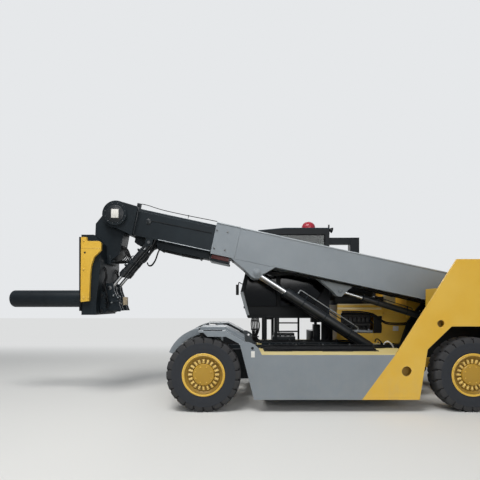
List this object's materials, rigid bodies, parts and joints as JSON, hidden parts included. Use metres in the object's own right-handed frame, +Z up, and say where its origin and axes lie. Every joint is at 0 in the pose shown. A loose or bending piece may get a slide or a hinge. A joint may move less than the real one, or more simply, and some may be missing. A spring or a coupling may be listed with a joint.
{
  "type": "telescopic handler with a coil ram",
  "caption": "Heavy telescopic handler with a raised side cab, rising mast plates, a telescopic boom and a coil ram carriage.",
  "frame": {"origin": "under the middle of the machine, on the ground", "axes": "-X towards the front (the coil ram), +Y towards the machine's right side (the cab), +Z up"},
  "size_m": [9.6304, 2.8, 3.7578],
  "materials": {
    "yellow_paint": "satin",
    "gray_paint": "satin",
    "black_paint": "satin",
    "rim_paint": "satin",
    "chrome": "polished",
    "steel": "brushed",
    "tyre_rubber": "matt",
    "glass": "clear",
    "engine_iron": "as cast",
    "seat_fabric": "woven",
    "black_plastic": "matt",
    "red_lens": "gloss"
  },
  "bodies": {
    "chassis": {"chassis_frame": "black_paint", "cylinder_base_pins": "steel", "side_plate_left": "gray_paint", "side_plate_right": "gray_paint", "deck_plates": "yellow_paint", "side_tanks": "black_paint", "front_fenders": "gray_paint", "front_mudguards": "black_plastic", "front_axle": "yellow_paint", "rear_axle": "yellow_paint", "counterweight": "yellow_paint", "tail_lamps": "red_lens", "hydraulic_tank": "yellow_paint", "radiator_box": "yellow_paint", "engine_hood": "yellow_paint", "engine_block": "engine_iron", "intake_duct": "black_paint", "boom_pivot_pin": "steel", "front_lamps": "black_plastic", "cab_shell": "black_paint", "cab_glass": "glass", "cab_stand": "black_paint", "cab_step": "black_paint", "driver_seat": "seat_fabric", "steering_console": "black_plastic", "roof_beacon": "red_lens"},
    "front_wheel_left": {"front_tyre_left": "tyre_rubber", "front_rim_left": "rim_paint"},
    "knuckle_left": {"knuckle_left": "black_paint"},
    "rear_wheel_left": {"rear_tyre_left": "tyre_rubber", "rear_rim_left": "rim_paint"},
    "front_wheel_right": {"front_tyre_right": "tyre_rubber", "front_rim_right": "rim_paint"},
    "knuckle_right": {"knuckle_right": "black_paint"},
    "rear_wheel_right": {"rear_tyre_right": "tyre_rubber", "rear_rim_right": "rim_paint"},
    "door": {"cab_door": "black_paint", "door_glass": "glass"},
    "boom": {"outer_boom": "gray_paint"},
    "inner_section": {"inner_boom": "black_paint", "tilt_base_pins": "steel", "boom_head": "black_paint", "head_pin": "steel"},
    "carriage": {"carriage_frame": "black_paint", "carriage_plates": "yellow_paint", "coil_ram": "black_paint"},
    "lift_barrel_pair": {"lift_barrels": "black_paint"},
    "lift_rod_pair": {"lift_rods": "chrome"},
    "levelling_barrel": {"levelling_barrel": "black_paint"},
    "levelling_rod": {"levelling_rod": "chrome"},
    "tilt_barrel_pair": {"tilt_barrels": "black_paint"},
    "tilt_rod_pair": {"tilt_rods": "chrome"}
  },
  "joints": [
    {"name": "front_wheel_left_spin", "type": "hinge", "parent": "chassis", "child": "front_wheel_left", "pos_m": [-0.865, -1.24, 0.6125], "axis": [0, 1, 0], "continuous": true},
    {"name": "front_wheel_right_spin", "type": "hinge", "parent": "chassis", "child": "front_wheel_right", "pos_m": [-0.865, 1.24, 0.6125], "axis": [0, 1, 0], "continuous": true},
    {"name": "steer_left", "type": "hinge", "parent": "chassis", "child": "knuckle_left", "pos_m": [3.525, -1, 0.6125], "axis": [0, 0, 1], "range_deg": [-32, 32]},
    {"name": "steer_right", "type": "hinge", "parent": "chassis", "child": "knuckle_right", "pos_m": [3.525, 1, 0.6125], "axis": [0, 0, 1], "range_deg": [-32, 32]},
    {"name": "rear_wheel_left_spin", "type": "hinge", "parent": "knuckle_left", "child": "rear_wheel_left", "pos_m": [3.525, -1.24, 0.6125], "axis": [0, 1, 0], "continuous": true},
    {"name": "rear_wheel_right_spin", "type": "hinge", "parent": "knuckle_right", "child": "rear_wheel_right", "pos_m": [3.525, 1.24, 0.6125], "axis": [0, 1, 0], "continuous": true},
    {"name": "door_swing", "type": "hinge", "parent": "chassis", "child": "door", "pos_m": [1.405, 1.354, 1.85], "axis": [0, 0, -1], "range_deg": [0, 85]},
    {"name": "boom_lift", "type": "hinge", "parent": "chassis", "child": "boom", "pos_m": [3.985, 0, 2.013], "axis": [0, 1, 0], "range_deg": [-8, 45]},
    {"name": "boom_extend", "type": "slide", "parent": "boom", "child": "inner_section", "axis": [-0.9774, 0, 0.2113], "range_m": [0, 2.9]},
    {"name": "carriage_tilt", "type": "hinge", "parent": "inner_section", "child": "carriage", "pos_m": [-2.65541, 0, 3.49679], "axis": [0, 1, 0], "range_deg": [-15, 25]},
    {"name": "lift_barrel_swing", "type": "hinge", "parent": "chassis", "child": "lift_barrel_pair", "pos_m": [2.735, 0, 0.63], "axis": [0, 1, 0], "range_deg": [-8, 43]},
    {"name": "lift_rod_stroke", "type": "slide", "parent": "lift_barrel_pair", "child": "lift_rod_pair", "axis": [-0.8383, 0, 0.5452], "range_m": [-0.27, 1.45]},
    {"name": "levelling_barrel_swing", "type": "hinge", "parent": "chassis", "child": "levelling_barrel", "pos_m": [3.535, 0, 1.47], "axis": [0, 1, 0], "range_deg": [-9, 47]},
    {"name": "levelling_rod_stroke", "type": "slide", "parent": "levelling_barrel", "child": "levelling_rod", "axis": [-0.955, 0, 0.2966], "range_m": [-0.11, 0.56]},
    {"name": "tilt_barrel_swing", "type": "hinge", "parent": "inner_section", "child": "tilt_barrel_pair", "pos_m": [-2.03451, 0, 2.96149], "axis": [0, 1, 0], "range_deg": [-15, 25]},
    {"name": "tilt_rod_stroke", "type": "slide", "parent": "tilt_barrel_pair", "child": "tilt_rod_pair", "axis": [-0.6487, 0, -0.761], "range_m": [-0.22, 0.36]}
  ],
  "couplings": [
    {"joint": "steer_right", "follows": "steer_left", "ratio": 1},
    {"joint": "lift_barrel_swing", "follows": "boom_lift", "ratio": 0.93},
    {"joint": "lift_rod_stroke", "follows": "boom_lift", "m_per_rad": 1.82},
    {"joint": "levelling_barrel_swing", "follows": "boom_lift", "ratio": 1.02},
    {"joint": "levelling_rod_stroke", "follows": "boom_lift", "m_per_rad": 0.69},
    {"joint": "tilt_barrel_swing", "follows": "carriage_tilt", "ratio": 0.95},
    {"joint": "tilt_rod_stroke", "follows": "carriage_tilt", "m_per_rad": 0.8}
  ]
}
